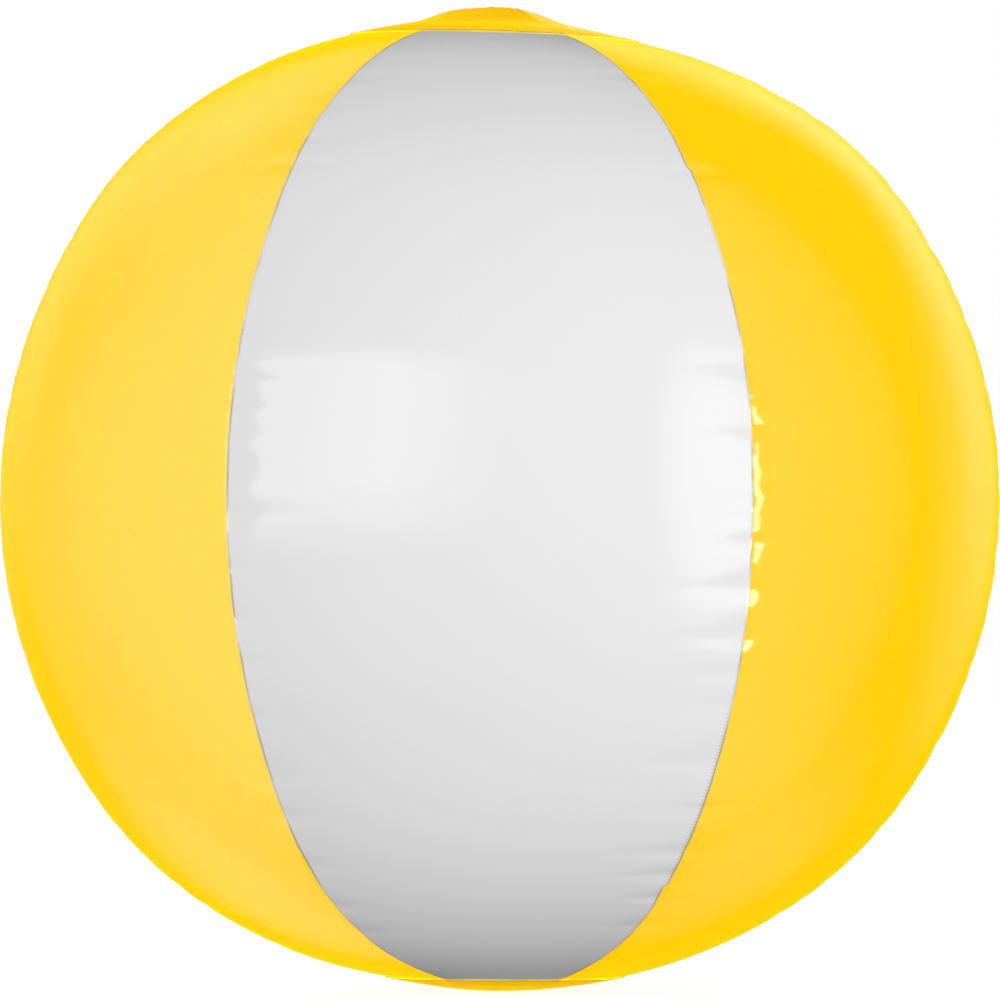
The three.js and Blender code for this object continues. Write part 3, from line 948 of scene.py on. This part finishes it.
def make_yellow_film(name, let_through, painted_edge, crumple, rough):
    """A gore reads its distance from the white edge, and a disc from its own rim. Along that line
    the film lets less light through, and its colour is painted: paler on a gore, as painted light
    over the dip beside the white edge, and darker on a disc, as painted shade under its rim."""
    material, tree = new_material(name)
    place, edge, along = film_readings(tree)
    clouds = tree.patches(place, *YELLOW_CLOUDS)
    # Painted light and shade along the edge, where the film also lets less light through.
    rim = edge.between(*RIM_REACH) * RIM_SHARE
    colour = tree.tint(clouds, YELLOW_BACK, darker(YELLOW_BACK, YELLOW_CLOUD))
    skin = tree.node("ShaderNodeBsdfPrincipled", sockets={
        "Base Color": tree.tint(rim, colour, painted_edge),
        "Roughness": film_gloss(tree, place, *rough), "IOR": VINYL_IOR, **YELLOW_SHEEN,
        "Normal": film_bump(tree, place, edge, along, crumple),
    })
    both = add_translucent(tree, skin, let_through)
    film = tree.node("ShaderNodeMixShader", sockets={0: rim, 1: both, 2: skin})
    tree.node("ShaderNodeOutputMaterial", sockets={"Surface": film})
    return material


yellow_film = make_yellow_film("yellow_film", GORE_THROUGH, GORE_EDGE_LIGHT, PEEL, GORE_ROUGH)
yellow_disc_film = make_yellow_film(
    "yellow_disc_film", DISC_THROUGH, DISC_EDGE_SHADE, DISC_CRUMPLE, DISC_ROUGH
)
print("Made", yellow_film.name, "and", yellow_disc_film.name)

# %% [markdown]
# The valve is soft vinyl with no dye, so it is milky and lets some light in. It is moulded in a
# slightly matt tool, so it is less glossy than the film. With that every finish is there, and each
# piece gets its own.

# %% Valve vinyl
VINYL_BACK, VINYL_CLOUD = (0.53, 0.48, 0.30, 1), 0.93
VINYL_THROUGH = (0.43, 0.38, 0.19, 1)
GRAIN_LUMPS, VINYL_LUMPS = 900.0, 220.0
GRAIN_BUMP = {"Strength": 0.15, "Distance": 0.1 * MM}
VINYL_LEAST_ROUGH, VINYL_ROUGH_SPREAD = 0.24, 0.1


def make_valve_vinyl():
    material, tree = new_material("valve_vinyl")
    place = tree.node("ShaderNodeTexCoord", output="Object")
    grain = {"Height": tree.noise(place, GRAIN_LUMPS), **GRAIN_BUMP}
    clouds = tree.noise(place, VINYL_LUMPS)
    skin = tree.node("ShaderNodeBsdfPrincipled", sockets={
        "Base Color": tree.tint(clouds, VINYL_BACK, darker(VINYL_BACK, VINYL_CLOUD)),
        "Roughness": VINYL_LEAST_ROUGH + clouds * VINYL_ROUGH_SPREAD, "IOR": VINYL_IOR,
        "Normal": tree.node("ShaderNodeBump", sockets=grain),
    })
    both = add_translucent(tree, skin, VINYL_THROUGH)
    tree.node("ShaderNodeOutputMaterial", sockets={"Surface": both})
    return material


def wear(piece, material):
    """Gives a piece its material."""
    piece.data.materials.clear()
    piece.data.materials.append(material)


valve_vinyl = make_valve_vinyl()
white_gores = [piece for name, piece in gores.items() if name.startswith("white")]
yellow_gores = [piece for name, piece in gores.items() if name.startswith("yellow")]
for pieces, material, slot in (
    (white_gores, white_film, "white_film"), (yellow_gores, yellow_film, "yellow_film"),
    ([top_disc, foot_disc], yellow_disc_film, "yellow_film"),
    (firm_pieces + soft_pieces, valve_vinyl, "valve_vinyl"),
):
    for piece in pieces:
        wear(piece, material)
    print(len(pieces), "pieces wear", material.name)

# %% [markdown]
# A lamp is given by the angles at which the ball sees it and by how bright it looks from there,
# because that is what a glossy ball shows. Its own nodes can dim it towards its sides, and light
# linking can keep its reflection to a few pieces. An image on a plane could do the same, but a lamp
# gives less noise.

# %% Lamps
LIGHT_DISTANCE = 4.0


def lamp_places(tree):
    """Across and up on a lamp's face, each from 0 to 1."""
    return tree.split(tree.node("ShaderNodeNewGeometry", output="Parametric"))[:2]


def dim_lamp(tree, strength):
    """Gives a lamp this strength over its face."""
    shine = tree.node("ShaderNodeEmission", sockets={"Strength": strength})
    tree.node("ShaderNodeOutputLight", sockets={"Surface": shine})


def fade_sides(light, across, up):
    """Dims a lamp towards its sides: across and up are each the shares of its width or height over
    which it fades at the low end and at the high end."""
    tree = Tree(light.data)
    strength = 1
    for share, (low, high) in zip(lamp_places(tree), (across, up)):
        strength = strength * share.plateau(0, low, 1 - high, 1)
    dim_lamp(tree, strength)


def fade_round(light, share):
    """Dims a round lamp over this share of its radius: radius = |2 * place - 1|."""
    tree = Tree(light.data)
    across, up = (2 * place - 1 for place in lamp_places(tree))
    radius = (across * across + up * up).math("SQRT")
    dim_lamp(tree, radius.between(1, 1 - share))


def softbox(name, azimuths, elevations, radiance, shape="RECTANGLE", mirrored=True, nearer=0.0):
    """A lamp that the ball's centre sees between these angles, in degrees. Its power is its
    radiance times pi times its area, which for an ellipse is pi / 4 of its box."""
    distance = LIGHT_DISTANCE - nearer
    turn, tilt = math.radians(sum(azimuths) / 2), math.radians(sum(elevations) / 2)
    size = [2 * distance * math.tan(math.radians(b - a) / 2) for a, b in (azimuths, elevations)]
    lamp = bpy.data.lights.new(name, "AREA")
    lamp.shape, lamp.size, lamp.size_y = shape, size[0], size[1]
    filled = math.pi / 4 if shape == "ELLIPSE" else 1
    lamp.energy = radiance * math.pi * size[0] * size[1] * filled
    level = math.cos(tilt)
    toward = Vector((math.sin(turn) * level, -math.cos(turn) * level, math.sin(tilt)))
    light = bpy.data.objects.new(name, lamp)
    light.location = Vector((0, 0, CENTRE_HEIGHT)) + distance * toward
    light.rotation_euler = toward.to_track_quat("Z", "Y").to_euler()
    light.visible_camera = False
    light.visible_glossy = mirrored
    bpy.context.scene.collection.objects.link(light)
    return light


def only_mirrored_in(light, pieces):
    """Lets a lamp show as a reflection in these pieces and nowhere else. The collection that says
    so isn't linked to the scene."""
    light.visible_diffuse = False
    takers = bpy.data.collections.new(light.name + "_takers")
    for piece in pieces:
        takers.objects.link(piece)
    light.light_linking.receiver_collection = takers


print("Lamps stand", LIGHT_DISTANCE, "m from the ball")

# %% [markdown]
# Soft lights stand in front of the ball, one on each side of the camera. Fills only light the film,
# with no reflection of them in it. Sheen and glint are the other way round: they are seen in the
# film but don't light it. One weak fill lies low, for the light that a pale floor throws up on to
# the ball, and one stands behind, for the light that comes through the yellow.

# %% Lights
RIGHT_PLACE = {"azimuths": (36, 70), "elevations": (-29, 35), "shape": "ELLIPSE"}
RIGHT_FADE = 0.45
# Azimuths, elevations and radiance.
FILLS = {
    "front_fill": ((-2, 40), (-33, 26), 1.85),
    "floor_bounce": ((-40, 40), (-85, -55), 0.35),
    "back_fill": ((140, 220), (-20, 60), 1.4),
}

left_softbox = softbox("left_softbox", azimuths=(-57.5, 2), elevations=(-12, 33), radiance=1.95)
fade_sides(left_softbox, across=(0.02, 0.42), up=(0.35, 0.08))
right_softbox = softbox("right_softbox", **RIGHT_PLACE, radiance=2.1, mirrored=False)
right_sheen = softbox("right_sheen", **RIGHT_PLACE, radiance=1.8, nearer=0.2)
for light in (right_softbox, right_sheen):
    fade_round(light, RIGHT_FADE)
only_mirrored_in(right_sheen, white_gores)
fills = [softbox(name, *given, mirrored=False) for name, given in FILLS.items()]
glint_strip = softbox(
    "glint_strip", azimuths=(40.5, 51.8), elevations=(-19, 15), radiance=9.0, nearer=0.4
)
fade_sides(glint_strip, across=(0.12, 0.12), up=(0.05, 0.05))
only_mirrored_in(glint_strip, yellow_gores)
lights = [left_softbox, right_softbox, right_sheen, *fills, glint_strip]
print("Lights:", [light.name for light in lights])

# %% [markdown]
# The yellow film mirrors pale walls on both sides, and the white film hardly shows them. Flat
# panels stand in for the walls: each goes evenly from one brightness at its left to another at its
# right. Round glows stand in for the paler places on them. The left wall is the brighter one. All of
# them show in the yellow gores alone, but for one glow behind the ball, which the top disc mirrors.

# %% Wall panels
TALL = -64, 64
GLOW_NEARER, WHOLE_RADIUS = 0.2, 1.0
# Azimuths, elevations, and the brightness at the left and at the right.
PANELS = {
    "left_panel_front": ((-78, -35), TALL, (2.05, 2.85)),
    "left_panel_middle": ((-122, -78), TALL, (0.42, 2.05)),
    "left_panel_back": ((-146, -122), TALL, (0.0, 0.42)),
    "right_panel_front": ((20, 66), TALL, (1.10, 1.10)),
    "right_panel_middle": ((66, 108), TALL, (1.10, 0.12)),
}
# Azimuths, elevations, the brightness in the middle, and the pieces that mirror it.
GLOWS = {
    "left_glow_high": ((-172, -112), (16, 72), 0.85, yellow_gores),
    "left_glow_low": ((-172, -112), (-74, -18), 0.80, yellow_gores),
    "right_glow_low": ((80, 156), (-78, -26), 0.58, yellow_gores),
    "right_glow_back": ((112, 162), (-24, 24), 0.42, yellow_gores),
    "shoulder_glow": ((146, 184), (4, 44), 0.45, yellow_gores),
    "cap_glow": ((148, 182), (-8, 30), 0.9, [top_disc]),
}


def wall_panel(name, azimuths, elevations, levels):
    """A lamp of radiance level_left + (level_right - level_left) * place across."""
    light = softbox(name, azimuths, elevations, radiance=1.0)
    tree = Tree(light.data)
    across, _ = lamp_places(tree)
    dim_lamp(tree, levels[0] + (levels[1] - levels[0]) * across)
    only_mirrored_in(light, yellow_gores)
    return light


def wall_glow(name, azimuths, elevations, level, takers):
    """A round lamp that is brightest in the middle and fades evenly to its rim."""
    light = softbox(name, azimuths, elevations, level, shape="ELLIPSE", nearer=GLOW_NEARER)
    fade_round(light, WHOLE_RADIUS)
    only_mirrored_in(light, takers)
    return light


panels = [wall_panel(name, *given) for name, given in PANELS.items()]
glows = [wall_glow(name, *given) for name, given in GLOWS.items()]
print("Panels:", [panel.name for panel in panels + glows])

# %% [markdown]
# The floor and the surround look white to the camera whatever light falls on them, but the floor
# still takes the ball's shadow. To the ball the room is dim, with a pale wall on each side that
# lights its sides: a bright one on the left and a weaker one on the right.

# %% Floor and surround
FLOOR_RINGS, FLOOR_COLUMNS = np.array([3.0, 0.3, 0])[:, None], 65
FLOOR_GREY, FLOOR_GLOW = (0.45, 0.45, 0.46, 1), 0.85
PURE_WHITE = (1, 1, 1, 1)
ROOM, LEFT_WALL, RIGHT_WALL, BACK_WALL = 0.105, 1.2, 1.0, 0.3
MIRROR_DIMMING = 0.9
# Shares of a direction's unit vector to the right, to the back and up: where a wall starts and is
# full, or where it starts, is full, is full no longer and ends.
LEFT_SIDE, RIGHT_SIDE, BACK_ASIDE = (0, -0.3), (0, 0.3), (0.15, 0.35)
LEFT_DEPTH, RIGHT_DEPTH = (-0.40, -0.30, -0.3, 1.1), (-0.44, -0.34, -0.35, 0.9)
BACK_DEPTH, BACK_HEIGHT = (0.68, 0.80), (-0.12, 0.20, 0.30, 0.50)
WALL_HEIGHT = -1.05, -0.3, 0.35, 2.2


def make_floor():
    """A disc on the floor plane, as rings of quads. It takes light but doesn't throw it back, and
    the lamps that reach below it shine through it."""
    turn = np.linspace(0, 2 * math.pi, FLOOR_COLUMNS)[None, :]
    floor = ring_sheet("floor", carried_round(FLOOR_RINGS, 0 * FLOOR_RINGS, turn))
    material, tree = new_material("floor_paper")
    matt = tree.node("ShaderNodeBsdfDiffuse", sockets={"Color": FLOOR_GREY})
    pale = tree.node("ShaderNodeEmission", sockets={"Color": PURE_WHITE, "Strength": FLOOR_GLOW})
    white = tree.node("ShaderNodeAddShader", sockets={0: matt, 1: pale})
    clear = tree.node("ShaderNodeBsdfTransparent")
    under = tree.node("ShaderNodeNewGeometry", output="Backfacing")
    shader = tree.node("ShaderNodeMixShader", sockets={0: under, 1: white, 2: clear})
    tree.node("ShaderNodeOutputMaterial", sockets={"Surface": shader})
    floor.data.materials.append(material)
    floor.visible_diffuse = floor.visible_glossy = floor.visible_shadow = False
    return floor


def seen_directly(tree):
    """1 for a ray that comes straight from the camera or through something clear."""
    kinds = "Is Camera Ray", "Is Transmission Ray"
    camera_ray, through_ray = (tree.node("ShaderNodeLightPath", output=kind) for kind in kinds)
    return camera_ray.math("MAXIMUM", through_ray)


def make_surround():
    """White to the camera. To the ball it is a dim room with pale walls to the left and to the
    right, which fade towards the back. The film mirrors only a band behind the ball, and shows
    the rest of the room dimly."""
    world = bpy.data.worlds.new("surround")
    bpy.context.scene.world = world
    tree = Tree(world)
    right, back, up = tree.split(tree.node("ShaderNodeTexCoord", output="Generated"))
    left_wall = right.between(*LEFT_SIDE) * back.plateau(*LEFT_DEPTH)
    right_wall = right.between(*RIGHT_SIDE) * back.plateau(*RIGHT_DEPTH)
    aside = right.math("ABSOLUTE").between(*BACK_ASIDE)
    back_wall = aside * back.between(*BACK_DEPTH) * up.plateau(*BACK_HEIGHT)
    walls = up.plateau(*WALL_HEIGHT) * (left_wall * LEFT_WALL + right_wall * RIGHT_WALL)
    mirrored = tree.node("ShaderNodeLightPath", output="Is Glossy Ray")
    level = (1 - MIRROR_DIMMING * mirrored) * (ROOM + walls) + back_wall * BACK_WALL
    seen = seen_directly(tree)
    strength = seen + (1 - seen) * level
    shine = tree.node("ShaderNodeBackground", sockets={"Color": PURE_WHITE, "Strength": strength})
    tree.node("ShaderNodeOutputWorld", sockets={"Surface": shine})
    return world


floor, surround = make_floor(), make_surround()
bpy.context.scene.view_settings.view_transform = "Standard"
print("Stage:", floor.name, surround.name)
